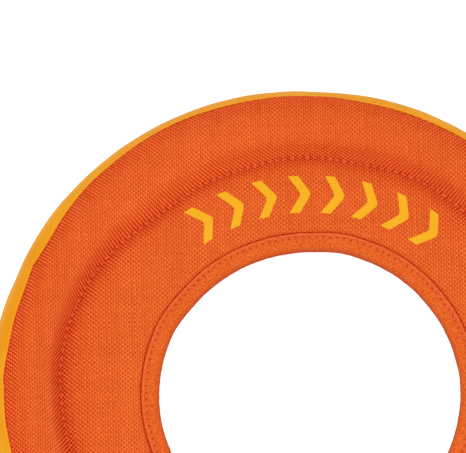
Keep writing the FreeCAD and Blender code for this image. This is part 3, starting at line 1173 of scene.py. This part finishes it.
def foam_pieces():
    """The core between the covers' webs and through the rim, and a rim ring above and below."""
    core_top, core_low = WEB_TOP - 1.5, RIM_HEIGHT - WEB_TOP + 1.5
    web_top = inside_of(upper, HOLE + 7, GROOVE + 2, 1, 24)
    web_low = inside_of(lower, HOLE + 7, GROOVE + 2, -1, 24)
    web_top = web_top[web_top[:, 1] <= core_top + 0.6]
    web_low = web_low[web_low[:, 1] >= core_low - 0.6]
    side = [(OUTER - 3.6, core_low), (OUTER - 4.0, MIDDLE), (OUTER - 4.4, core_top)]
    foam_piece("core_foam_sheet", "core_foam",
               [*web_top[::-1], (HOLE + 5, MIDDLE), *web_low, *side])
    roll = inside_of(upper, GROOVE + 3.6, TOP_SEAM - 2.5, 1, 20)
    roll = roll[roll[:, 1] > core_top + 0.3]
    foam_piece("upper_rim_foam_ring", "upper_rim_foam",
               [(roll[0][0] + 0.2, core_top + 0.1), (OUTER - 5.6, core_top + 0.1), *roll[::-1]])
    under = inside_of(lower, GROOVE + 3.6, FLAT_EDGE, -1, 20)
    under = under[under[:, 1] < core_low - 0.3]
    foam_piece("lower_rim_foam_ring", "lower_rim_foam",
               [*under, (OUTER - 4.6, core_low - 2), (OUTER - 4.6, core_low - 0.1),
                (under[0][0] + 0.2, core_low - 0.1)])


# ---- stage, lights, camera
# All in metres.

FLOOR_SIZE = 4.0
FLOOR_GLOW = 0.66
WORLD_LIGHT = 1.05
KEY_PLACE, KEY_SIZE, KEY_POWER = (0.0, -0.55, 1.45), 1.3, 8.0
CAMERA_TILT, CAMERA_SWING = math.radians(15), math.radians(1)
CAMERA_DISTANCE = 4.0
VIEW_WIDTH = 0.2219  # width seen at the middle of the ring
AIM_RIGHT, AIM_UP = -0.0344, 0.0819
SENSOR = 36.0  # in millimetres, as Blender has it


def floor():
    """A pale acrylic table, lit a little from below so that it stays white round the ring."""
    mesh = bpy.data.meshes.new("floor")
    mesh.from_pydata([(x * FLOOR_SIZE, y * FLOOR_SIZE, 0.0)
                      for x, y in ((-1, -1), (1, -1), (1, 1), (-1, 1))], [], [(0, 1, 2, 3)])
    piece = new_object("floor", mesh)
    graph = Graph("pale_floor")
    cloudy = graph.noise(graph.node("TexCoord", "Object", {}), 3.0)
    tone = graph.ramp(cloudy, 0.3, 0.7, 0.66, 0.69)
    graph.shader.inputs["Emission Color"].default_value = (1, 1, 1, 1)
    graph.shader.inputs["Emission Strength"].default_value = FLOOR_GLOW
    mesh.materials.append(graph.finish(graph.vector(tone, tone, tone),
                                       (cloudy, 0.0, 1.0, 0.9, 0.9), cloudy, 0.1))


def studio():
    """An even white world, one large soft lamp above the near side, and plain view colours."""
    world = bpy.data.worlds.new("studio")
    world.use_nodes = True
    background = world.node_tree.nodes["Background"]
    background.inputs["Color"].default_value = (1, 1, 1, 1)
    background.inputs["Strength"].default_value = WORLD_LIGHT
    light = bpy.data.lights.new("key", "AREA")
    light.shape, light.size, light.energy = "DISK", KEY_SIZE, KEY_POWER
    lamp = new_object("key", light)
    lamp.location = KEY_PLACE
    lamp.rotation_mode = "QUATERNION"
    lamp.rotation_quaternion = Vector(KEY_PLACE).to_track_quat("Z", "Y")
    bpy.context.scene.world = world
    view = bpy.context.scene.view_settings
    view.view_transform, view.look = "Standard", "None"
    view.exposure, view.gamma = 0.0, 1.0


def right_of(back):
    """The picture's right for a camera that looks against back."""
    return (Vector((1, 0, 0)) - back * back.x).normalized()


def camera():
    """A long lens looking down at the ring, tilted a little towards its near side."""
    near = math.sin(CAMERA_TILT)
    back = Vector((math.sin(CAMERA_SWING) * near, -math.cos(CAMERA_SWING) * near,
                   math.cos(CAMERA_TILT)))
    aim = right_of(back) * AIM_RIGHT + back.cross(right_of(back)) * AIM_UP
    data = bpy.data.cameras.new("camera")
    data.sensor_width = SENSOR
    data.lens = SENSOR * CAMERA_DISTANCE / VIEW_WIDTH
    data.clip_start, data.clip_end = 0.1, 20
    eye = new_object("camera", data)
    eye.location = back * CAMERA_DISTANCE
    back = (eye.location - aim).normalized()
    axes = Matrix((right_of(back), back.cross(right_of(back)), back)).transposed()
    eye.rotation_mode = "QUATERNION"
    eye.rotation_quaternion = axes.to_quaternion()
    bpy.context.scene.camera = eye


# ---- the ring

camera()
studio()
floor()

top_piece = cover_shell("top", upper, moved, top_relief, 1)
bottom_piece = cover_shell("bottom", lower, below, bottom_relief, -1)
band_piece = strip_shell(
    BAND_MEAN, "stretched", ["upper_rim_foam", "lower_rim_foam"],
    ("side_band_strip", "side_band", "edge_rubber", edge_rubber), band, band_marks,
    band_spacing, SHELL_COLUMNS, band_place, band_relief, CLOTH, 1)
binding_piece = strip_shell(
    TAPE_MEAN, "folded", ["top_cover_cloth", "bottom_cover_cloth"],
    ("hole_binding_tape", "hole_binding", "binding_tape", binding_tape), tape, tape_marks,
    tape_spacing, TAPE_COLUMNS, tape_place, tape_relief, TAPE - 0.15, -1)
foam_pieces()

top_surface = Surface(top_piece)
bottom_surface = Surface(bottom_piece)
tape_surface = Surface(binding_piece)

print_film(top_surface)
groove_row, binding_row = (GROOVE, GROOVE_PITCH), (BINDING_ROW, BINDING_PITCH)
for row, place, radius, pitch, surface, side, lift, material in (
        ("groove_needle", moved, *groove_row, top_surface, 1, 0.12, orange_thread),
        ("groove_bobbin", below, *groove_row, bottom_surface, -1, 0.12, orange_thread),
        ("binding_needle", tape_place, *binding_row, tape_surface, 1, 0.05, tape_thread),
        ("binding_bobbin", tape_place, *binding_row, tape_surface, -1, 0.05, tape_thread)):
    sewn(row, stitch_circle(place, radius, pitch, surface, side, lift), material)
sewn("top_seam", seam_circle(TOP_SEAM - 0.7, TOP_SEAM_Z - 0.7, 1), orange_thread)
sewn("bottom_seam", seam_circle(BOTTOM_SEAM - 0.3, bottom_seam[1] + 0.9, -1), orange_thread)
sewn("binding_tack", tack_stitches(tape_surface), tape_thread)
sewn("band_join", join_stitches(Surface(band_piece)), yellow_thread, "band_thread")
